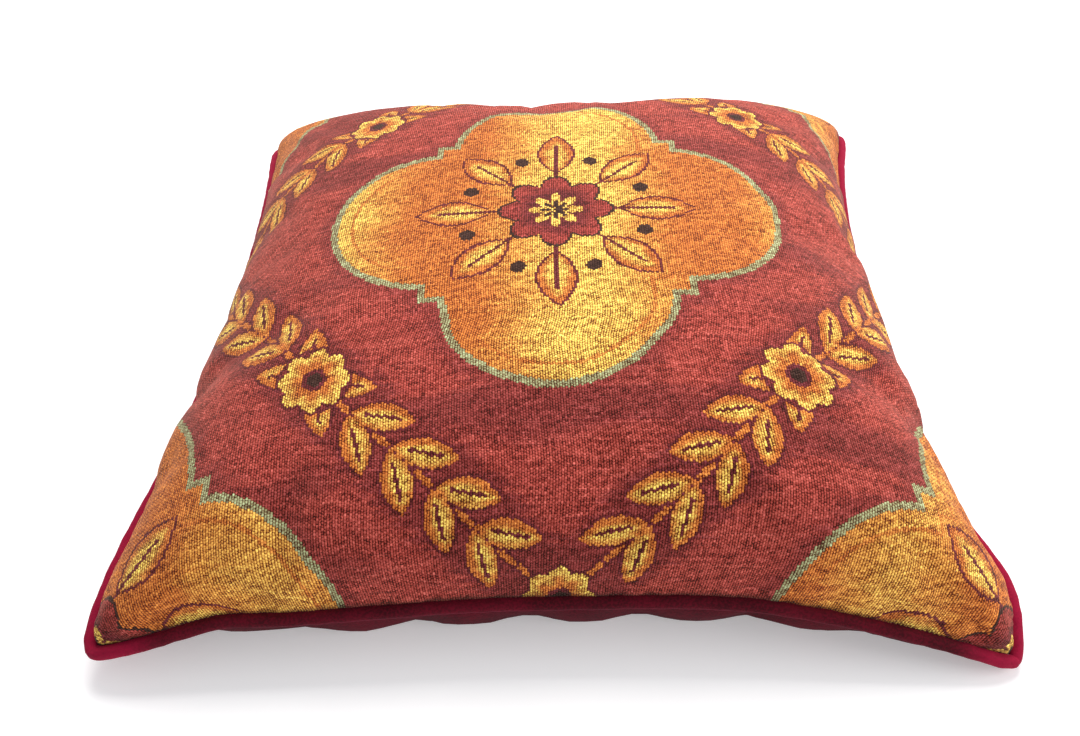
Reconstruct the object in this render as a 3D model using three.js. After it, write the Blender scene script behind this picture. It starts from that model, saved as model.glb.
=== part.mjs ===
// A square cushion cover, filled, lying on its velvet back with its tapestry front up.
// Units are millimetres, +Z is up, and the origin is on the surface under the middle of the cushion.
// The front runs along -Y, so the cushion is seen from -Y and a little above.
import * as THREE from 'three';
import { mergeVertices } from 'three/addons/utils/BufferGeometryUtils.js';

// Driving dimensions
const SEAM_WIDTH = 450; // the sewn square, corner to corner
const CROWN_HEIGHT = 83.8; // the front panel's middle above the seam
const BACK_DEPTH = 78; // how far the back would bulge below the seam if nothing carried it
const SEAM_HEIGHT = 37; // the seam above the surface, away from the corners
const CORNER_HEIGHT = 12; // the seam above the surface, at a corner
const SETTLING = 9; // the height over which the back rounds off on to the surface
const TAPESTRY_THICKNESS = 2;
const PIPING_DIAMETER = 6.5;
const PIPING_DROP = 1.5; // the front panel rolls over the piping and pushes it down
const CLEARANCE = 0.3; // between pieces that touch
const CLEARANCE_UNDER = 0.4; // under the front panel, whose facets are turned against those below

// How far each side is drawn in at its middle, because the filling takes up the cloth
const DRAW = { left: 25.9, right: 28, front: 18.6, back: 26.5 };
const DRAW_POWER = 2.2;

// The crown: flat across the top and steep at the shoulders, a little fuller on the right and at
// the back, with walls that bulge out over the seam
const CROWN_POWER = 2.98;
const SHOULDER_POWER = 0.464;
const FULLER = { right: 4.8, back: 2.4 };
const WALL_BULGE = 0.013; // as a share of the plan, where the walls stand out the most

// The corners: rounded in plan, low, and each one pulled a little its own way. The shift and lift
// fade slowly over the quarter that ends in the corner, and those of its tip fade quickly.
const CORNER_RADIUS = 17;
const CORNER_DROP_POWER = 1.6;
const CORNERS = [
  { side: -1, end: -1, shiftX: -1.8, shiftY: 0, lift: 4.5, tipX: 0, tipY: 0, tipLift: 0 },
  { side: 1, end: -1, shiftX: 1, shiftY: 1.3, lift: -6, tipX: 2, tipY: -1.5, tipLift: 0 },
  { side: -1, end: 1, shiftX: 13.5, shiftY: 4.7, lift: 0.6, tipX: -3, tipY: 6, tipLift: 7 },
  { side: 1, end: 1, shiftX: -1.8, shiftY: 4.9, lift: 8, tipX: 9, tipY: 10, tipLift: 6 },
];

// Where the seam waves: the side it is on, the place along that side from -1 to 1, and how far it
// goes out and up there
const WAVES = [
  { sideX: 0, sideY: -1, place: -0.71, spread: 0.1, out: -1.5, up: 2.6 },
  { sideX: 0, sideY: -1, place: -0.42, spread: 0.26, out: 1.4, up: -2 },
  { sideX: 0, sideY: -1, place: 0.4, spread: 0.24, out: -1.2, up: 2.4 },
  { sideX: 1, sideY: 0, place: -0.84, spread: 0.12, out: 9.7, up: 0 },
  { sideX: 1, sideY: 0, place: -0.58, spread: 0.07, out: -2, up: 0 },
  { sideX: -1, sideY: 0, place: -0.78, spread: 0.2, out: 3, up: 0 },
];

// Soft troughs in the front panel, from one point in plan to another
const TROUGHS = [
  { fromX: -131, fromY: -206, toX: -138, toY: -142, depth: 3.5, spread: 15 },
  { fromX: 152, fromY: -202, toX: 146, toY: -160, depth: 2.2, spread: 14 },
  { fromX: -202, fromY: -62, toX: -150, toY: -84, depth: 2.2, spread: 13 },
  { fromX: -176, fromY: 150, toX: -128, toY: 112, depth: 2.6, spread: 18 },
  { fromX: 178, fromY: 148, toX: 140, toY: 120, depth: 2, spread: 16 },
  { fromX: 203, fromY: -74, toX: 166, toY: -60, depth: 1.8, spread: 13 },
];

// The velvet bulges out under the piping, and is gathered on to it in shallow puckers
const BACK_BULGE = 0.011; // as a share of the plan, where the velvet stands out the most
const PUCKERS_PER_SIDE = 8;
const PUCKERING = 0.6; // the share of the bulge that the puckers take

const CELLS = 38; // cells across the cover, closer together towards the seam
const PIPING_SIDES = 8;

const HALF = SEAM_WIDTH / 2;
const TIP_POWER = 7;
const MIDDLE = new THREE.Vector2(2.47, 6.77); // of the outline, which is then moved on to the origin

// A quarter turn of this radius takes this share off the half width, and the power follows from it,
// so that the outline runs at 45 degrees through the corner.
const CORNER_INSET = (CORNER_RADIUS * (1 - Math.SQRT1_2)) / HALF;
const CORNER_SHARPNESS = (1 - CORNER_INSET) / (4 * CORNER_INSET);

const mix = (from, to, share) => from + (to - from) * share;
const drawn = (place) => 1 - Math.abs(place) ** DRAW_POWER;
const steepness = (place) => 1 - Math.abs(place) ** CROWN_POWER;

// How near a point is to a corner, from 0 to 1
function nearness(corner, across, along) {
  return ((1 + corner.side * across) * (1 + corner.end * along)) / 4;
}

// How much of a wave of the seam a point takes, from 0 to 1
function waveShare(wave, across, along) {
  const towards = (1 + across * wave.sideX + along * wave.sideY) / 2;
  const place = wave.sideX === 0 ? across : along;
  return towards ** 4 * Math.exp(-(((place - wave.place) / wave.spread) ** 2));
}

// The seam's plan, filled in to the middle. across and along run from -1 to 1 over the cloth,
// and inset is how far inside the cover's face the point lies.
function planPoint(across, along, inset) {
  const sideDraw = mix(DRAW.left, DRAW.right, (1 + across) / 2) * drawn(along);
  const endDraw = mix(DRAW.front, DRAW.back, (1 + along) / 2) * drawn(across);
  const rounding = 1 - CORNER_INSET * Math.abs(across * along) ** (2 * CORNER_SHARPNESS);
  const plan = new THREE.Vector2(
    across * (HALF - inset - sideDraw) * rounding,
    along * (HALF - inset - endDraw) * rounding,
  );
  for (const corner of CORNERS) {
    const near = nearness(corner, across, along);
    plan.x += near ** 2 * corner.shiftX + near ** TIP_POWER * corner.tipX;
    plan.y += near ** 2 * corner.shiftY + near ** TIP_POWER * corner.tipY;
  }
  for (const wave of WAVES) {
    const share = waveShare(wave, across, along);
    plan.x += share * wave.out * wave.sideX;
    plan.y += share * wave.out * wave.sideY;
  }
  return plan.sub(MIDDLE);
}

// The height of the seam, carried on through the middle of the cushion
function seamHeight(across, along) {
  const drop = Math.abs(across * along) ** (2 * CORNER_DROP_POWER);
  let height = mix(SEAM_HEIGHT, CORNER_HEIGHT, drop);
  for (const corner of CORNERS) {
    const near = nearness(corner, across, along);
    height += near ** 4 * corner.lift + near ** TIP_POWER * corner.tipLift;
  }
  for (const wave of WAVES) {
    height += waveShare(wave, across, along) * wave.up;
  }
  return height;
}

function fullness(across, along) {
  return Math.max(0, steepness(across) * steepness(along)) ** SHOULDER_POWER;
}

// The depth of the soft troughs at a point in plan
function troughDepth(plan) {
  let depth = 0;
  for (const trough of TROUGHS) {
    const start = new THREE.Vector2(trough.fromX, trough.fromY);
    const run = new THREE.Vector2(trough.toX, trough.toY).sub(start);
    const along = THREE.MathUtils.clamp(plan.clone().sub(start).dot(run) / run.lengthSq(), 0, 1);
    const distance = plan.distanceTo(start.addScaledVector(run, along));
    depth += trough.depth * Math.exp(-((distance / trough.spread) ** 2));
  }
  return depth;
}

// A point of the front, inset below its face
function frontPoint(across, along, inset) {
  const full = fullness(across, along);
  const bulge = 1 + WALL_BULGE * 4 * full * (1 - full);
  const plan = planPoint(across, along, inset).multiplyScalar(bulge);
  const crown = CROWN_HEIGHT + FULLER.right * across + FULLER.back * along - inset;
  const height = seamHeight(across, along) + (crown - troughDepth(plan)) * full;
  return new THREE.Vector3(plan.x, plan.y, height);
}

// A height as it is once the cushion has settled: flat on the surface, with a soft turn up from it
function settled(height) {
  if (height >= SETTLING) return height;
  return Math.max(0, height + SETTLING) ** 2 / (4 * SETTLING);
}

// A point of the back, which lies flat wherever it would reach below the surface
function backPoint(across, along) {
  const full = fullness(across, along);
  const place = Math.abs(across) > Math.abs(along) ? along : across;
  const gather = 1 + PUCKERING * Math.sin(PUCKERS_PER_SIDE * Math.PI * place);
  const bulge = 1 + BACK_BULGE * 4 * full * (1 - full) * gather;
  const plan = planPoint(across, along, 0).multiplyScalar(bulge);
  const height = seamHeight(across, along) - BACK_DEPTH * full;
  return new THREE.Vector3(plan.x, plan.y, settled(height));
}

// A closed blanket of cells between an upper and a lower face: a box divided into cells, whose
// points are then moved on to the two faces, closer together towards the seam.
function blanket(upperPoint, lowerPoint) {
  const box = new THREE.BoxGeometry(2, 2, 2, CELLS, CELLS, 1);
  box.deleteAttribute('normal');
  box.deleteAttribute('uv');
  const geometry = mergeVertices(box);
  const points = geometry.attributes.position;
  const towardsSeam = (place) => Math.sin((place * Math.PI) / 2);
  for (let i = 0; i < points.count; i += 1) {
    const across = towardsSeam(points.getX(i));
    const along = towardsSeam(points.getY(i));
    const face = points.getZ(i) > 0 ? upperPoint : lowerPoint;
    const point = face(across, along);
    points.setXYZ(i, point.x, point.y, point.z);
  }
  geometry.computeVertexNormals();
  return geometry;
}

// The front panel: one cut of weft-faced tapestry, two millimetres thick
function tapestryFront() {
  const lift = new THREE.Vector3(0, 0, CLEARANCE);
  const outer = (across, along) => frontPoint(across, along, 0).add(lift);
  const inner = (across, along) => frontPoint(across, along, TAPESTRY_THICKNESS).add(lift);
  return blanket(outer, inner);
}

// The velvet back with the filled body of the cushion, which carries the front panel
function velvetBack() {
  const drop = new THREE.Vector3(0, 0, -CLEARANCE / 2);
  const under = TAPESTRY_THICKNESS + CLEARANCE_UNDER;
  const upper = (across, along) => frontPoint(across, along, under).add(drop);
  const lower = (across, along) => {
    const point = backPoint(across, along);
    return point.setZ(Math.max(0, point.z + drop.z));
  };
  return blanket(upper, lower);
}

// The share of the way round that half of the butt joint takes, at the middle of the back side
const BUTT_SHARE = CLEARANCE / 2 / (HALF * 4 * Math.PI);

// The centre line of the piping: once round the seam, from the middle of the back side.
// Its steps are the cells of the cover, so its flats follow theirs.
class SeamLine extends THREE.Curve {
  constructor(reach) {
    super();
    this.reach = reach;
  }

  // Where the seam is, after this share of the way round
  seamPoint(share) {
    const turns = (((share % 1) + 1) % 1) * 4 + 0.5;
    const side = Math.floor(turns) % 4;
    const place = Math.sin((((turns % 1) * 2 - 1) * Math.PI) / 2);
    const square = [
      [-place, 1],
      [-1, -place],
      [place, -1],
      [1, place],
    ];
    const [across, along] = square[side];
    const plan = planPoint(across, along, 0);
    return new THREE.Vector3(plan.x, plan.y, seamHeight(across, along));
  }

  getPoint(share, target = new THREE.Vector3()) {
    const place = THREE.MathUtils.clamp(share, BUTT_SHARE, 1 - BUTT_SHARE);
    const step = 1 / (4 * CELLS);
    const way = this.seamPoint(place + step).sub(this.seamPoint(place - step));
    const outward = new THREE.Vector3(way.y, -way.x, 0).normalize();
    target.copy(this.seamPoint(place)).addScaledVector(outward, this.reach);
    return target.setZ(target.z - PIPING_DROP);
  }

  getUtoTmapping(share) {
    return share;
  }
}

// The piping: a cord in a bias strip of velvet, sewn into the seam, its two ends butted together
function piping() {
  const radius = PIPING_DIAMETER / 2;
  const line = new SeamLine(radius + 2 * CLEARANCE);
  const section = new THREE.Shape();
  section.absarc(0, 0, radius, 0, 2 * Math.PI, false);
  return new THREE.ExtrudeGeometry(section, {
    steps: 4 * CELLS,
    curveSegments: PIPING_SIDES / 2, // a whole circle takes two divisions for each
    bevelEnabled: false,
    extrudePath: line,
  });
}

function piece(name, geometry, material) {
  const mesh = new THREE.Mesh(geometry, material);
  mesh.name = name;
  return mesh;
}

const tapestry = new THREE.MeshStandardMaterial({ color: 0xa5533f, roughness: 0.92, metalness: 0 });
const velvet = new THREE.MeshStandardMaterial({ color: 0x6e1023, roughness: 0.8, metalness: 0 });
const bias = new THREE.MeshStandardMaterial({ color: 0x7a1229, roughness: 0.78, metalness: 0 });

const cover = new THREE.Group();
cover.add(piece('tapestry_front', tapestryFront(), tapestry));
cover.add(piece('velvet_back', velvetBack(), velvet));
cover.add(piece('piping', piping(), bias));

export default cover;
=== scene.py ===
# A square cushion cover with its filling, lying on its velvet back with its tapestry front up.
# Two square cuts of cloth are sewn together round a velvet piping, turned out and filled.
import math
from itertools import accumulate, pairwise

import bmesh
import bpy
from mathutils import Matrix, Vector, noise


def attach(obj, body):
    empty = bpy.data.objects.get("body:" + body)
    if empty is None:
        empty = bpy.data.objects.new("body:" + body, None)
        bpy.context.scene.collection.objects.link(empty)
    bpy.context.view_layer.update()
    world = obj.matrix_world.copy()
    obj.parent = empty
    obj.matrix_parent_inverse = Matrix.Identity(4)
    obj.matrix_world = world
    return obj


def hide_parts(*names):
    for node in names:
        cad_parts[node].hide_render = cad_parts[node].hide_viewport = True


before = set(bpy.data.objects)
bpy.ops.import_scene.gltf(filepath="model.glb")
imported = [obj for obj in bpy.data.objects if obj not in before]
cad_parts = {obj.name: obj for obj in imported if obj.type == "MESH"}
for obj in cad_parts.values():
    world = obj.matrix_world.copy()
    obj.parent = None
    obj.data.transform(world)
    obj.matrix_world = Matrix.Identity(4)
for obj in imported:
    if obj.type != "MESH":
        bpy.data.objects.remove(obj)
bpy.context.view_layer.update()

# Camera
# It stands close in front of the cushion and looks down on it, so the far side looks about
# three quarters as wide as the near side.
CAMERA_PLACE = Vector((-0.0077, -0.5246, 0.4723))
CAMERA_DOWN = math.radians(42.54)
CAMERA_LEFT = math.radians(0.2)
CAMERA_ROLL = math.radians(-0.38)
SENSOR_WIDTH = 36
LENS = 36.02

camera = bpy.data.objects.new("camera", bpy.data.cameras.new("camera"))
camera.data.sensor_width = SENSOR_WIDTH
camera.data.lens = LENS
camera.location = CAMERA_PLACE
aim = Matrix.Rotation(CAMERA_LEFT, 3, "Z") @ Matrix.Rotation(math.pi / 2 - CAMERA_DOWN, 3, "X")
camera.rotation_euler = (aim @ Matrix.Rotation(CAMERA_ROLL, 3, "Z")).to_euler()
bpy.context.scene.collection.objects.link(camera)
bpy.context.scene.camera = camera

# Light and floor
# A plain pale table top, a large soft light above and behind the cushion, one from the right,
# and a weak one from the front.
SOFT_LIGHTS = [
    # name, place, width, power in watts, colour
    ("above_behind", (0.1, 1.2, 1.6), 1.5, 56, (1, 0.98, 0.95)),
    ("right", (1.6, -0.45, 0.9), 1.2, 17, (1, 0.98, 0.96)),
    ("front", (-0.7, -1.7, 1.3), 1.4, 2, (0.95, 0.97, 1)),
]
for name, place, width, power, colour in SOFT_LIGHTS:
    light = bpy.data.objects.new(name, bpy.data.lights.new(name, "AREA"))
    light.data.size = width
    light.data.energy = power
    light.data.color = colour
    light.location = place
    light.rotation_euler = (-Vector(place)).to_track_quat("-Z", "Y").to_euler()
    bpy.context.scene.collection.objects.link(light)

ROOM_COLOUR = (0.93, 0.95, 1, 1)
ROOM_LIGHT = 0.4
world = bpy.data.worlds.new("room")
world.use_nodes = True
world.node_tree.nodes["Background"].inputs["Color"].default_value = ROOM_COLOUR
world.node_tree.nodes["Background"].inputs["Strength"].default_value = ROOM_LIGHT
bpy.context.scene.world = world
bpy.context.scene.view_settings.view_transform = "Standard"

FLOOR_WIDTH = 40
FLOOR_DROP = 0.0003  # below the velvet, which it would otherwise share a face with
FLOOR_COLOUR = (0.86, 0.86, 0.87, 1)
FLOOR_ROUGHNESS = 0.7
FLOOR_GLOW = 0.3  # keeps it nearly white, as the photo's plain background is
WHITE = (1, 1, 1, 1)

table_top = bmesh.new()
bmesh.ops.create_grid(table_top, x_segments=1, y_segments=1, size=FLOOR_WIDTH / 2)
bmesh.ops.translate(table_top, vec=(0, 0, -FLOOR_DROP), verts=table_top.verts)
floor = bpy.data.objects.new("floor", bpy.data.meshes.new("floor"))
table_top.to_mesh(floor.data)
table_top.free()
bpy.context.scene.collection.objects.link(floor)
floor_paint = bpy.data.materials.new("floor_paint")
floor_paint.use_nodes = True
paint_surface = floor_paint.node_tree.nodes["Principled BSDF"]
paint_surface.inputs["Base Color"].default_value = FLOOR_COLOUR
paint_surface.inputs["Roughness"].default_value = FLOOR_ROUGHNESS
paint_surface.inputs["Emission Color"].default_value = WHITE
paint_surface.inputs["Emission Strength"].default_value = FLOOR_GLOW
floor.data.materials.append(floor_paint)

# Velvet back with the filling
# The back is one square cut of crimson velvet, rounded out by the filling and flat in the middle,
# where it lies on the table. The piece goes on under the front panel and closes the filled body.
SEAM_WIDTH = 0.450  # the sewn square, from corner to corner along a side
CROWN_HEIGHT = 0.0838  # of the front above the seam
BACK_DEPTH = 0.078  # how far the back would hang below the seam if no table held it up
SEAM_HEIGHT = 0.037  # at the middle of a side
CORNER_HEIGHT = 0.012
SETTLING = 0.009  # the height over which the back rounds off on to the table
DRAW = {"left": 0.0259, "right": 0.0280, "front": 0.0186, "back": 0.0265}  # of each side, inwards
DRAW_POWER = 2.2
CROWN_POWER = 2.98  # more of it makes the crown flatter across the middle
SHOULDER_POWER = 0.464  # less of it makes the shoulders steeper at the seam
FULLER = {"right": 0.0048, "back": 0.0024}  # how much higher the crown is towards those sides
WALL_BULGE = 0.013  # how far the walls of the front stand out over the seam
CORNER_PUFF = 0.028  # the filling that was pushed into the tips rounds them out over the piping
CORNER_PUFF_POWER = 8
CORNER_RADIUS = 0.017
CORNER_DROP_POWER = 1.6
TIP_POWER = 7
SIDE_POWER = 4  # how soon a wave or a pinch of one side fades away from it
CORNERS = [
    # side, end, how far it is pulled sideways, endways and up, and its tip the same three ways
    (-1, -1, -0.0018, 0.0000, 0.0045, 0.0000, 0.0000, 0.0000),
    (1, -1, 0.0010, 0.0013, -0.0060, 0.0020, -0.0015, 0.0000),
    (-1, 1, 0.0135, 0.0047, 0.0006, -0.0030, 0.0060, 0.0070),
    (1, 1, -0.0018, 0.0049, 0.0080, 0.0090, 0.0100, 0.0060),
]
MIDDLE = Vector((0.00247, 0.00677, 0))  # of the outline, which is then moved on to the origin
WAVES = [
    # of the seam: the side in x and y, the place along it, spread, and how far it goes out and up
    (0, -1, -0.71, 0.10, -0.0015, 0.0026),
    (0, -1, -0.42, 0.26, 0.0014, -0.0020),
    (0, -1, 0.40, 0.24, -0.0012, 0.0024),
    (1, 0, -0.83, 0.115, 0.0092, 0.0000),
    (1, 0, -0.58, 0.07, -0.0020, 0.0000),
    (-1, 0, -0.78, 0.20, 0.0030, 0.0000),
]
PINCHES = [
    # where a side wall is drawn in to the seam: side, place along it, spread, and how far
    (-1, -0.42, 0.05, 2.6),
    (-1, -0.77, 0.13, 2.3),
    (1, -0.52, 0.04, 2.2),
    (1, -0.79, 0.11, 3.6),
]
TROUGHS = [
    # from x and y, to x and y, depth and spread
    (-0.131, -0.206, -0.138, -0.142, 0.0035, 0.015),
    (0.152, -0.202, 0.146, -0.160, 0.0022, 0.014),
    (-0.202, -0.062, -0.150, -0.084, 0.0022, 0.013),
    (-0.176, 0.150, -0.128, 0.112, 0.0026, 0.018),
    (0.178, 0.148, 0.140, 0.120, 0.0020, 0.016),
    (0.203, -0.074, 0.166, -0.060, 0.0018, 0.013),
]
BACK_BULGE = 0.011  # how far the walls of the back stand out under the seam
PUCKERS_PER_SIDE = 8
PUCKERING = 0.6  # how much of the back's bulge comes and goes in them
TAPESTRY_THICKNESS = 0.002
CLEARANCE = 0.0003  # between pieces that touch
CELLS = 88  # of the mesh along each side
SEWN_DISTANCE = 0.00001  # within which points of two edges are the same point of a seam

HALF = SEAM_WIDTH / 2
CORNER_INSET = CORNER_RADIUS * (1 - math.sqrt(0.5)) / HALF
CORNER_SHARPNESS = (1 - CORNER_INSET) / (4 * CORNER_INSET)


def mix(start, stop, share):
    """The value this share of the way from start to stop."""
    return start + (stop - start) * share


def corner_pull(across, along):
    """How far the corners pull a point of the cloth sideways, endways and up."""
    pull = Vector((0, 0, 0))
    for side, end, sideways, endways, up, *tip in CORNERS:
        near = (1 + side * across) * (1 + end * along) / 4
        pull += near**2 * Vector((sideways, endways, near**2 * up)) + near**TIP_POWER * Vector(tip)
    return pull


def wave_push(across, along):
    """How far the waves of the seam push a point of the cloth."""
    push = Vector((0, 0, 0))
    for side_x, side_y, place, spread, out, up in WAVES:
        towards = (1 + across * side_x + along * side_y) / 2
        here = across if side_x == 0 else along
        share = towards**SIDE_POWER * math.exp(-(((here - place) / spread) ** 2))
        push += share * Vector((out * side_x, out * side_y, up))
    return push


def seam_point(across, along):
    """A point of the seam, carried on through the cushion; across and along run from -1 to 1."""
    side_draw = mix(DRAW["left"], DRAW["right"], (1 + across) / 2) * (1 - abs(along) ** DRAW_POWER)
    end_draw = mix(DRAW["front"], DRAW["back"], (1 + along) / 2) * (1 - abs(across) ** DRAW_POWER)
    rounding = 1 - CORNER_INSET * abs(across * along) ** (2 * CORNER_SHARPNESS)
    x = across * (HALF - side_draw) * rounding
    y = along * (HALF - end_draw) * rounding
    height = mix(SEAM_HEIGHT, CORNER_HEIGHT, abs(across * along) ** (2 * CORNER_DROP_POWER))
    return Vector((x, y, height)) + corner_pull(across, along) + wave_push(across, along) - MIDDLE


def fullness(across, along):
    """How much of the crown a point has: 0 at the seam and 1 at the middle."""
    steepness = (1 - abs(across) ** CROWN_POWER) * (1 - abs(along) ** CROWN_POWER)
    return max(0, steepness) ** SHOULDER_POWER


def trough_depth(x, y):
    """How deep the drag lines of the cloth are at a place."""
    depth = 0
    for from_x, from_y, to_x, to_y, deep, spread in TROUGHS:
        start = Vector((from_x, from_y))
        run = Vector((to_x, to_y)) - start
        along = min(1, max(0, (Vector((x, y)) - start).dot(run) / run.length_squared))
        distance = (Vector((x, y)) - start - run * along).length
        depth += deep * math.exp(-((distance / spread) ** 2))
    return depth


def front_point(across, along):
    """A point of the crowned front, whose walls stand out a little over the seam."""
    full = fullness(across, along)
    point = seam_point(across, along)
    bulge = WALL_BULGE + CORNER_PUFF * abs(across * along) ** CORNER_PUFF_POWER
    for side, place, spread, share in PINCHES:
        towards = max(0, across * side) ** SIDE_POWER
        bulge -= WALL_BULGE * share * towards * math.exp(-(((along - place) / spread) ** 2))
    point.xy *= 1 + bulge * 4 * full * (1 - full)
    crown = CROWN_HEIGHT + FULLER["right"] * across + FULLER["back"] * along
    return point + Vector((0, 0, (crown - trough_depth(point.x, point.y)) * full))


def settled(height):
    """A height of the back once it lies on the table: flat there, with a soft turn up from it."""
    if height >= SETTLING:
        return height
    return max(0, height + SETTLING) ** 2 / (4 * SETTLING)


def back_point(across, along):
    """A point of the back, which the seam gathers into puckers and the table makes flat."""
    full = fullness(across, along)
    point = seam_point(across, along)
    place = along if abs(across) > abs(along) else across
    gather = 1 + PUCKERING * math.sin(PUCKERS_PER_SIDE * math.pi * place)
    point.xy *= 1 + BACK_BULGE * 4 * full * (1 - full) * gather
    low_seam = settled(point.z) - point.z  # more than 0 where the seam is low itself
    point.z = max(0, settled(point.z - BACK_DEPTH * full) - low_seam)
    return point


def even_shares(points):
    """How far along a line of points each of them lies, from 0 to 1."""
    lengths = [0, *accumulate((after - before).length for before, after in pairwise(points))]
    return [length / lengths[-1] for length in lengths]


def cut_panel(mesh, point_at, panel):
    """Adds a square cut of cloth to a mesh, laid over the form, with cloth coordinates on it."""
    cloth = mesh.loops.layers.uv["cloth"]
    verts = bmesh.ops.create_grid(mesh, x_segments=CELLS, y_segments=CELLS, size=1)["verts"]
    per_row = CELLS + 1
    for vert in verts:
        across, along = (math.sin(place * math.pi / 2) for place in vert.co.xy)
        vert.co = point_at(across, along)
    rows = [verts[i * per_row : (i + 1) * per_row] for i in range(per_row)]
    u_shares = [even_shares([vert.co for vert in row]) for row in rows]
    v_shares = list(zip(*[even_shares([vert.co for vert in column]) for column in zip(*rows)]))
    places = {}
    for row, u_row, v_row in zip(rows, u_shares, v_shares):
        places.update(zip(row, zip(u_row, v_row)))
    for face in {face for vert in verts for face in vert.link_faces}:
        face.material_index = panel
        face.smooth = True
        for loop in face.loops:
            loop[cloth].uv = places[loop.vert]


BACK, FRONT = 0, 1  # the two panels
filled = bmesh.new()
filled.loops.layers.uv.new("cloth")
cut_panel(filled, back_point, BACK)
bmesh.ops.reverse_faces(filled, faces=filled.faces)
cut_panel(filled, front_point, FRONT)
bmesh.ops.remove_doubles(filled, verts=filled.verts, dist=SEWN_DISTANCE)
filled.normal_update()
filled.verts.index_update()

# The filling presses on slack cloth for these frames, while the seam and the flat patch are held.
# The cloth's gathers and drag lines are kept. Its slow swelling isn't, for the form above has it.
PRESSURE = 4
SLACK = 0.02  # how much longer the cloth is each way than the form
CLOTH_STEPS = 6
FRAMES = 20
SMOOTHING_PASSES = 60  # they take the gathers away and leave the slow swelling
KEPT_SHARE = 0.8
MOST_MOVE = 0.003


def pressed(mesh):
    """How far out of the filled cover each of its points goes when the filling presses on it."""
    cover = bpy.data.objects.new("cover", bpy.data.meshes.new("cover"))
    mesh.to_mesh(cover.data)
    bpy.context.scene.collection.objects.link(cover)
    held = []
    for vert in mesh.verts:
        is_sewn = len({face.material_index for face in vert.link_faces}) > 1
        if is_sewn or vert.co.z < FLOOR_DROP:
            held.append(vert.index)
    cover.vertex_groups.new(name="held").add(held, 1, "REPLACE")
    cloth = cover.modifiers.new("cloth", "CLOTH").settings
    cloth.vertex_group_mass = "held"
    cloth.use_pressure = True
    cloth.uniform_pressure_force = PRESSURE
    cloth.shrink_min = cloth.shrink_max = -SLACK
    cloth.quality = CLOTH_STEPS
    cloth.effector_weights.gravity = 0
    for frame_number in range(1, FRAMES + 1):
        bpy.context.scene.frame_set(frame_number)
    blown_up = cover.evaluated_get(bpy.context.evaluated_depsgraph_get()).data.vertices
    moves = [(after.co - vert.co).dot(vert.normal) for vert, after in zip(mesh.verts, blown_up)]
    bpy.data.objects.remove(cover)
    bpy.context.scene.frame_set(1)
    return moves


moves = pressed(filled)
neighbours = [[edge.other_vert(vert).index for edge in vert.link_edges] for vert in filled.verts]
slow = moves
for _ in range(SMOOTHING_PASSES):
    around = [sum(slow[i] for i in near) / len(near) for near in neighbours]
    slow = [(here + there) / 2 for here, there in zip(slow, around)]
for vert, move, slow_move in zip(filled.verts, moves, slow):
    gather = (move - slow_move) * KEPT_SHARE
    vert.co += vert.normal * min(MOST_MOVE, max(-MOST_MOVE, gather))
    vert.co.z = max(0, vert.co.z)
filled.normal_update()


def piece_from(name, mesh, material):
    """A piece of the scene from a finished mesh, all of one material."""
    made = bpy.data.objects.new(name, bpy.data.meshes.new(name))
    mesh.to_mesh(made.data)
    mesh.free()
    made.data.materials.append(material)
    for face in made.data.polygons:
        face.material_index = 0
    bpy.context.scene.collection.objects.link(made)
    return made


class Yarn:
    """A shader socket. Sums that are written with it add Math nodes to its material."""

    def __init__(self, socket):
        self.socket = socket

    def node(self, kind, settings=(), sockets=(), output=0):
        """Adds a node to the same material, with its settings first, and gives one output of it."""
        made = self.socket.node.id_data.nodes.new(kind)
        for name, value in dict(settings).items():
            setattr(made, name, value)
        for name, value in dict(sockets).items():
            if isinstance(value, Yarn):
                made.id_data.links.new(value.socket, made.inputs[name])
            else:
                made.inputs[name].default_value = value
        return Yarn(made.outputs[output])

    def maths(self, operation, *others):
        return self.node("ShaderNodeMath", {"operation": operation}, enumerate((self, *others)))

    def rise(self, low, high):
        """0 below low, 1 above high, and smooth between them."""
        limits = {"Value": self, "From Min": low, "From Max": high}
        return self.node("ShaderNodeMapRange", {"interpolation_type": "SMOOTHSTEP"}, limits)

    def dye(self, bare, dyed):
        """The bare colour where this is 0 and the dyed one where it is 1."""
        return self.node("ShaderNodeMix", {"data_type": "RGBA"}, {0: self, 6: bare, 7: dyed}, 2)

    def __add__(self, other):
        return self.maths("ADD", other)

    def __sub__(self, other):
        return self.maths("SUBTRACT", other)

    def __rsub__(self, other):
        return self * -1 + other

    def __mul__(self, other):
        return self.maths("MULTIPLY", other)

    def __truediv__(self, other):
        return self.maths("DIVIDE", other)

    def __pow__(self, other):
        return self.maths("POWER", other)

    def __mod__(self, other):
        return self.maths("FLOORED_MODULO", other)

    def __abs__(self):
        return self.maths("ABSOLUTE")

    def __lt__(self, other):
        return self.maths("LESS_THAN", other)

    def __gt__(self, other):
        return self.maths("GREATER_THAN", other)

    __radd__ = __add__
    __rmul__ = __mul__


def dyed(red, green, blue):
    """A colour in parts of 255, as a shader takes it."""
    return *(((part / 255 + 0.055) / 1.055) ** 2.4 for part in (red, green, blue)), 1


CLOTH_SPECULAR = 0.15


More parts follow.
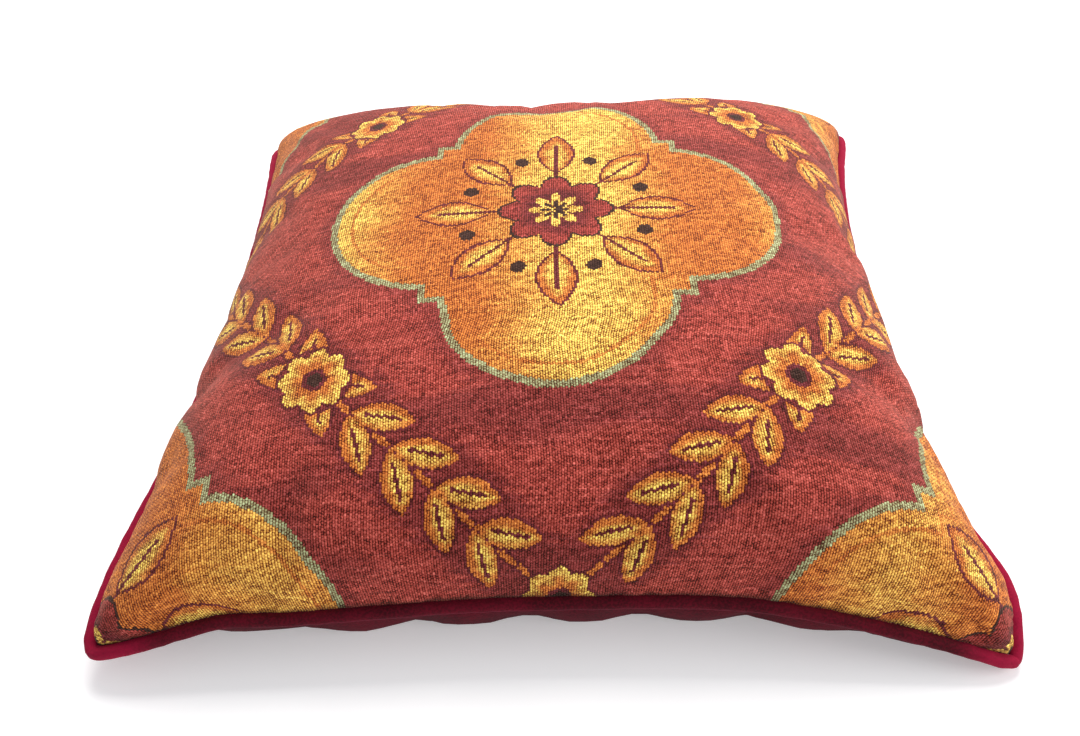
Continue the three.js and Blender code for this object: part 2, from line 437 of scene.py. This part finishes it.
def cloth_material(name, roughness, sheen, sheen_roughness, sheen_colour):
    """A new cloth material: its surface shader, and a socket with the cloth's own coordinates."""
    material = bpy.data.materials.new(name)
    material.use_nodes = True
    surface = material.node_tree.nodes["Principled BSDF"]
    surface.inputs["Roughness"].default_value = roughness
    surface.inputs["Sheen Weight"].default_value = sheen
    surface.inputs["Sheen Roughness"].default_value = sheen_roughness
    surface.inputs["Sheen Tint"].default_value = sheen_colour
    surface.inputs["Specular IOR Level"].default_value = CLOTH_SPECULAR
    cloth = Yarn(surface.outputs[0]).node("ShaderNodeUVMap", {"uv_map": "cloth"})
    return material, surface, cloth


STROKES = {"Scale": 38, "Detail": 3}  # where a hand has stroked the pile, about 26 mm across
TUFTS = {"Scale": 900, "Detail": 2}  # the pile itself, about 1 mm across
STROKE_SHARE = 0.4
TUFT_SHARE = 0.6
SIDES_START, SIDES_END = 0.188, 0.212  # from the middle, and between them painted light starts to make the sides lighter
PILE_RELIEF = 0.0004
VELVET_SHEEN = dyed(215, 60, 105)


def velvet(name, pile_dark, pile_light, pile_lit_sides, sheen):
    """Short cut pile, stroked this way and that, with painted light making it lighter on the sides.
    """
    material, surface, cloth = cloth_material(name, 0.85, sheen, 0.3, VELVET_SHEEN)
    place = cloth.node("ShaderNodeTexCoord", output="Object")
    stroked = place.node("ShaderNodeTexNoise", sockets={"Vector": place, **STROKES})
    tufts = place.node("ShaderNodeTexNoise", sockets={"Vector": place, **TUFTS})
    shade = stroked.rise(0.35, 0.68) * STROKE_SHARE + tufts.rise(0.35, 0.65) * TUFT_SHARE
    pile = shade.dye(pile_dark, pile_light)
    from_middle = abs(place.node("ShaderNodeSeparateXYZ", sockets={0: place}))
    # Painted light: the left and right sides of the velvet are made lighter, as if lit from the
    # side.
    painted_side_light = from_middle.rise(SIDES_START, SIDES_END) * (0.45 + tufts * 0.6)
    pile = painted_side_light.dye(pile, pile_lit_sides)
    bump = {"Strength": 0.5, "Distance": PILE_RELIEF, "Height": tufts, "Filter Width": 0.1}
    links = material.node_tree.links
    links.new(pile.socket, surface.inputs["Base Color"])
    links.new(place.node("ShaderNodeBump", sockets=bump).socket, surface.inputs["Normal"])
    return material


under_front = filled.copy()
under_front.normal_update()
for vert in under_front.verts:
    if any(face.material_index == FRONT for face in vert.link_faces):
        vert.co -= vert.normal * (TAPESTRY_THICKNESS + CLEARANCE)
# The third colour is the painted light on the velvet's sides.
crimson = velvet("velvet", dyed(58, 2, 14), dyed(98, 4, 28), dyed(112, 6, 34), 0.03)
velvet_back = piece_from("velvet_back_filled", under_front, crimson)
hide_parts("velvet_back")
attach(velvet_back, "root")

# Tapestry front
# One square cut of weft-faced wool tapestry, laid over the filling and sewn in with the piping.
# The warp runs from front to back as fine ribs, and each bead of weft over a rib has one colour.
FLAT_WIDTH = 0.48
MILLIMETRES = FLAT_WIDTH * 1000  # the sizes of the weave and the pattern are in millimetres
RIB = 1.3  # between warp ribs
PICK = 1.5  # between beads of weft on one rib
FIBRE = 0.6  # across a tuft of loose fibre
WEFT_PASS = 3.9  # three ribs that one pick of weft crosses alike
TOOTH = 1.95  # the height of a tooth, where one colour reaches into the next
TOOTH_REACH = 9
TOOTH_PATCH = 90  # the width over which a row of teeth stays the same
THREAD_RELIEF = 0.0004  # metres
LONG_STREAK = (55, 1.6)  # how long it is along the weft, and how high
SHORT_STREAK = (16, 0.9)
SLUB = (26, 1.3)  # a thick place in the yarn
GOLD_BAND = 24  # its width over 2 pi
GOLD_CLOUD = 60
DUSK_LENGTH, DUSK_HEIGHT = 150, 42
DUSK_SHIFT = 3.3  # which of the ground's dark clouds lie on the panel

BRICK = dyed(172, 67, 59)
BRICK_LIGHT = dyed(197, 87, 74)
MAROON = dyed(116, 42, 46)
BROWN = dyed(70, 42, 34)
GOLD = dyed(238, 163, 74)
YELLOW = dyed(252, 209, 98)
ORANGE = dyed(216, 123, 54)
SAGE = dyed(170, 168, 122)

MEDALLION_LOBE = 64  # the radius of each of its four lobes
MEDALLION_REACH = 68  # from its middle to the middle of a lobe
SAGE_LINE = 4.2  # the width of its outline
MEDALLION_BARB = 74  # half the square whose corners stand out between the lobes
INNER_LINE = 13  # from the medallion's edge in to a thin orange line
ROSETTE = 32
ROSETTE_OUTLINE = 2
ROSETTE_EYE = 16  # from its edge in to the yellow eye
ROSETTE_CORE = 23  # from its edge in to the brown core
ROSETTE_PETAL = 0.28  # how much of its radius its petals are
PALM_LENGTH = 21  # half of each palm leaf round the rosette
PALM_WIDTH = 10  # half of it
PALM_REACH = 59  # from the middle of the medallion to the middle of a palm leaf
PALM_OUTLINE = 1.6
PALM_VEIN = 0.9  # half its width
SEED_REACH = 54
SEED = 4.5
SEED_TURN = math.radians(22.5)  # half of the way from one palm leaf to the next
LEAF_PITCH = 28
LEAF_LENGTH = 16.5  # half of it
LEAF_WIDTH = 7.2  # half of it
LEAF_TURN = math.radians(32)  # away from the stem
LEAF_VEIN = 0.85  # half its width
STEM = 1.6  # half its width
STEM_OUTLINE = 1.4
GARLAND_LEAVES = 5  # pairs between two little rosettes
KNOT = 19  # the radius of the little rosettes at the middle and the ends of each garland
KNOT_PETAL = 0.22  # how much of their radius their petals are
KNOT_EYE = 6.5
KNOT_CORE = 4
OUTLINE = 1.5  # the maroon line round the leaves and the little rosettes


def tapestry_wool():
    """Brick red ground with a gold medallion in a garland of leaves, all beaded as it is woven."""
    material, surface, cloth = cloth_material("tapestry_wool", 0.92, 0.16, 0.5, dyed(255, 225, 205))
    fine = cloth.node("ShaderNodeSeparateXYZ", sockets={0: cloth})
    x_fine = (fine - 0.5) * MILLIMETRES
    y_fine = (Yarn(fine.socket.node.outputs["Y"]) - 0.5) * MILLIMETRES

    # Each bead takes the colour of its middle
    rib = (x_fine / RIB).maths("FLOOR")
    odd = rib % 2 * 0.5
    bead = (y_fine / PICK + odd).maths("FLOOR")
    x = (rib + 0.5) * RIB
    y = (bead + 0.5 - odd) * PICK

    def joined(across, along):
        return cloth.node("ShaderNodeCombineXYZ", sockets={"X": across, "Y": along})

    def speckle(across, along):
        sockets = {0: joined(across, along)}
        return cloth.node("ShaderNodeTexWhiteNoise", {"noise_dimensions": "2D"}, sockets)

    def cloudy(across, along, detail=2):
        sockets = {0: joined(across, along), "Scale": 1, "Detail": detail}
        return cloth.node("ShaderNodeTexNoise", {"noise_dimensions": "2D"}, sockets)

    def distance(across, along):
        return (across * across + along * along) ** 0.5

    # Teeth of one colour reach into the next along the weft
    tooth = speckle((y / TOOTH).maths("FLOOR"), (x / TOOTH_PATCH).maths("FLOOR")) - 0.5
    x_teeth = x + tooth * TOOTH_REACH

    # The quarter turns of the pattern are alike, and its corners repeat its middle
    half = MILLIMETRES / 2
    far_x, far_y = abs(x), abs(y)
    in_corner = far_x + far_y > half
    near_x = far_x + in_corner * (half - 2 * far_x)
    near_y = far_y + in_corner * (half - 2 * far_y)
    larger, smaller = near_x.maths("MAXIMUM", near_y), near_x.maths("MINIMUM", near_y)

    lobes = distance(larger - MEDALLION_REACH, smaller) - MEDALLION_LOBE
    medallion = lobes.maths("MINIMUM", larger - MEDALLION_BARB)
    from_middle = distance(near_x, near_y)
    petals = abs((larger.maths("ARCTAN2", smaller) * 4).maths("COSINE"))
    rosette = from_middle - ROSETTE * (1 - ROSETTE_PETAL) - petals * (ROSETTE * ROSETTE_PETAL)

    # Eight palm leaves stand round the rosette, with a seed between each two
    slant = (larger + smaller) * math.sqrt(0.5)
    across_slant = (larger - smaller) * math.sqrt(0.5)
    is_slant = across_slant < smaller
    palm_along = larger + is_slant * (slant - larger) - PALM_REACH
    palm_across = smaller + is_slant * (across_slant - smaller)
    palm = palm_across + (palm_along / PALM_LENGTH) ** 2 * PALM_WIDTH - PALM_WIDTH
    seed_across = larger - SEED_REACH * math.cos(SEED_TURN)
    seed_along = smaller - SEED_REACH * math.sin(SEED_TURN)
    seed = distance(seed_across, seed_along) - SEED

    # Garlands join the middles of the sides
    stem = (far_x + far_y - half) * math.sqrt(0.5)
    run = abs((far_x - far_y) * math.sqrt(0.5))
    side = abs(stem)
    step = run % LEAF_PITCH
    leaf_along = step * math.cos(LEAF_TURN) + side * math.sin(LEAF_TURN) - LEAF_LENGTH - 1
    leaf_across = side * math.cos(LEAF_TURN) - step * math.sin(LEAF_TURN)
    leaf = abs(leaf_across) + (leaf_along / LEAF_LENGTH) ** 2 * LEAF_WIDTH - LEAF_WIDTH
    knot_run = run.maths("MINIMUM", half * math.sqrt(0.5) - run)
    knot = distance(knot_run, side)
    leaf = leaf.maths("MAXIMUM", KNOT + 1 - knot)
    leaf = leaf.maths("MAXIMUM", run - LEAF_PITCH * GARLAND_LEAVES)
    knot_petals = abs((side.maths("ARCTAN2", knot_run) * 4).maths("COSINE"))
    knot_edge = knot - KNOT * (1 - KNOT_PETAL) - knot_petals * (KNOT * KNOT_PETAL)

    # Ground, heathered and streaked along the weft, and darker beside the garlands and the medallion
    streaks = cloudy(x / LONG_STREAK[0], y / LONG_STREAK[1]) * 0.7
    streaks = streaks + cloudy(x / SHORT_STREAK[0], y / SHORT_STREAK[1], 0) * 0.3
    heather = speckle(rib, bead)
    ground = (streaks.rise(0.3, 0.75) * 0.7 + heather * 0.3).dye(BRICK, BRICK_LIGHT)
    shadow = (side + tooth * 7).rise(27, 19) * 0.62
    shadow = shadow + (medallion + tooth * 6).rise(11, 2) * 0.45
    dusk = cloudy(x_teeth / DUSK_LENGTH + DUSK_SHIFT, (y + tooth * 3) / DUSK_HEIGHT, 1)
    dusk = dusk.rise(0.55, 0.7) * 0.55
    shadow = shadow.maths("MAXIMUM", dusk)
    colour = shadow.maths("MINIMUM", 0.8).dye(ground, MAROON)

    # Medallion, with its gold in soft bands, then its palm leaves, seeds and rosette
    clouds = cloudy(x_teeth / GOLD_CLOUD, y / GOLD_CLOUD)
    bands = (x_teeth / GOLD_BAND + clouds * 2).maths("SINE") - in_corner * 0.55
    gold = bands.rise(-0.9, 0.1).dye(ORANGE, GOLD)
    gold = bands.rise(0.1, 0.95).dye(gold, YELLOW)
    colour = (medallion < 0).dye(colour, SAGE)
    colour = (medallion < -SAGE_LINE).dye(colour, gold)
    colour = ((abs(medallion + INNER_LINE) < 1) * 0.8).dye(colour, ORANGE)
    palm_gold = (palm + palm_along * 0.12 + tooth * 3).rise(-7, -1).dye(YELLOW, ORANGE)
    colour = (palm < PALM_OUTLINE).dye(colour, MAROON)
    colour = (palm < 0).dye(colour, palm_gold)
    palm_vein = (palm_across < PALM_VEIN) * (palm_along < PALM_LENGTH * 0.45)
    colour = palm_vein.dye(colour, MAROON)
    colour = ((seed < 0) * (1 - in_corner)).dye(colour, BROWN)
    petal_shade = (from_middle + tooth * 5).rise(ROSETTE * 0.4, ROSETTE * 0.85).dye(MAROON, BRICK)
    colour = (rosette < ROSETTE_OUTLINE).dye(colour, BROWN)
    colour = (rosette < 0).dye(colour, petal_shade)
    colour = (rosette < -ROSETTE_EYE).dye(colour, YELLOW)
    colour = (rosette < -ROSETTE_CORE).dye(colour, BROWN)

    # Garland: its stem, its leaves with a vein each, and the little rosettes over its ends
    colour = (side < STEM + STEM_OUTLINE).dye(colour, MAROON)
    colour = (side < STEM).dye(colour, ORANGE)
    leaf_shade = (leaf + leaf_across * 0.3 + heather + tooth * 2).rise(-5.5, -0.5)
    colour = (leaf < OUTLINE).dye(colour, MAROON)
    colour = (leaf < 0).dye(colour, leaf_shade.dye(YELLOW, ORANGE))
    vein = (abs(leaf_across) < LEAF_VEIN) * (abs(leaf_along) < LEAF_LENGTH * 0.55) * (leaf < 0)
    colour = vein.dye(colour, MAROON)
    colour = (knot_edge < OUTLINE).dye(colour, MAROON)
    knot_gold = (knot_edge + tooth * 3).rise(-9, -1).dye(ORANGE, YELLOW)
    colour = (knot_edge < 0).dye(colour, knot_gold)
    colour = (knot < KNOT_EYE).dye(colour, MAROON)
    colour = (knot < KNOT_CORE).dye(colour, BROWN)

    # Every bead is rounded, with painted shade where it goes down between the ribs and at its ends.
    # No two are dyed alike.
    crest = abs((x_fine * (math.pi / RIB)).maths("SINE"))
    bead_crest = abs(((y_fine / PICK + odd) * math.pi).maths("SINE"))
    weft_pass = speckle((x / WEFT_PASS + odd).maths("FLOOR"), bead + 0.5)
    fuzz = speckle((x_fine / FIBRE).maths("FLOOR"), (y_fine / FIBRE).maths("FLOOR"))
    slub = cloudy(x_fine / SLUB[0], y_fine / SLUB[1], 1).rise(0.62, 0.74)
    mottle = (heather - 0.5) * 0.34 + (fuzz - 0.5) * 0.8
    # Slubs are also painted lighter, a painted highlight on the raised yarn; the rest of the mottle
    # is the dye's own random tone.
    mottle = mottle + (weft_pass - 0.5) * 0.6 + slub * 0.3
    shade = 0.06 + crest * (0.5 + bead_crest * 0.66) + mottle
    # A few beads get a painted glint, a small highlight added to their colour.
    shade = (shade * (0.9 + streaks * 0.24) + heather.rise(0.9, 1) * 0.3).maths("MAXIMUM", 0.04)
    # The painted shade in the gaps between threads takes away less of the red than of the green and
    # blue
    warm_shade = {"X": shade**0.75, "Y": shade**1.15, "Z": shade**1.3}
    shading = cloth.node("ShaderNodeCombineXYZ", sockets=warm_shade)
    colour = cloth.node("ShaderNodeVectorMath", {"operation": "MULTIPLY"}, {0: colour, 1: shading})
    relief = crest * 0.65 + bead_crest * 0.45 + streaks * 0.15 + slub * 0.8
    bump = {"Strength": 0.8, "Distance": THREAD_RELIEF, "Height": relief, "Filter Width": 0.1}
    links = material.node_tree.links
    links.new(colour.socket, surface.inputs["Base Color"])
    links.new(cloth.node("ShaderNodeBump", sockets=bump).socket, surface.inputs["Normal"])
    return material


front_cut = filled.copy()
back_faces = [face for face in front_cut.faces if face.material_index == BACK]
bmesh.ops.delete(front_cut, geom=back_faces, context="FACES")
tapestry = piece_from("tapestry_front_panel", front_cut, tapestry_wool())
thickness = tapestry.modifiers.new("thickness", "SOLIDIFY")
thickness.thickness = TAPESTRY_THICKNESS
thickness.offset = -1
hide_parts("tapestry_front")
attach(tapestry, "root")

# Piping
# A cotton cord in a bias strip of the same velvet, sewn in all round the seam. Its two ends are
# butted together at the middle of the back side.
PIPING_RADIUS = 0.00325
PIPING_DROP = 0.0015  # the front panel rolls over the piping and pushes it down
PIPING_NECK = 0.0008  # how far the strip reaches on into the seam, where its two edges are sewn in
NECK_POWER = 10  # more of it makes the neck narrower
TOWARDS_SEAM = math.radians(159)
PILE_UNEVEN = 0.0004  # how far the pile stands more or less proud of the cord
PILE_PATCHES = 160  # of uneven pile in a metre
BUTT = 0.0001  # the share of the way round that is left open at each end
PIPING_STEPS = 640
PIPING_SIDES = 20


def seam_round(share):
    """The seam, this share of the way round from the middle of its back side."""
    turns = (share % 1) * 4 + 0.5
    place = math.sin((turns % 1 * 2 - 1) * math.pi / 2)
    across, along = [(-place, 1), (-1, -place), (place, -1), (1, place)][int(turns) % 4]
    return seam_point(across, along)


def piping_point(way, turn):
    """A point on the piping, this share of the way along it and of a turn round it."""
    ring = (way * PIPING_STEPS - 1) / (PIPING_STEPS - 2)
    place = mix(BUTT, 1 - BUTT, min(1, max(0, ring)))
    step = 0.25 / PIPING_STEPS  # short enough to give the direction of the seam
    forward = (seam_round(place + step) - seam_round(place - step)).normalized()
    outward = Vector((forward.y, -forward.x, 0)).normalized()
    upward = outward.cross(forward)
    angle = turn * 2 * math.pi
    around = outward * math.cos(angle) + upward * math.sin(angle)
    middle = seam_round(place) + outward * (PIPING_RADIUS + 2 * CLEARANCE)
    middle.z -= PIPING_DROP
    radius = PIPING_RADIUS + PIPING_NECK * max(0, math.cos(angle - TOWARDS_SEAM)) ** NECK_POWER
    radius += PILE_UNEVEN * noise.noise((middle + around * radius) * PILE_PATCHES)
    is_end = way in (0, 1)  # the strip is folded in flat over the end of the cord
    return middle + around * (0 if is_end else radius)


cord_cover = bmesh.new()
cord_cover.loops.layers.uv.new("cloth")
cuts = {"x_segments": PIPING_STEPS, "y_segments": PIPING_SIDES}
bmesh.ops.create_grid(cord_cover, size=0.5, calc_uvs=True, **cuts)
for vert in cord_cover.verts:
    vert.co = piping_point(vert.co.x + 0.5, vert.co.y + 0.5)
bmesh.ops.remove_doubles(cord_cover, verts=cord_cover.verts, dist=SEWN_DISTANCE / 10)
bmesh.ops.recalc_face_normals(cord_cover, faces=cord_cover.faces)
for face in cord_cover.faces:
    face.smooth = True
# The third colour is the painted light on the velvet's sides.
bias_crimson = velvet("bias_velvet", dyed(58, 3, 15), dyed(100, 6, 29), dyed(160, 16, 56), 0.35)
piping = piece_from("piping_velvet_cord", cord_cover, bias_crimson)
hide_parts("piping")
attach(piping, "root")
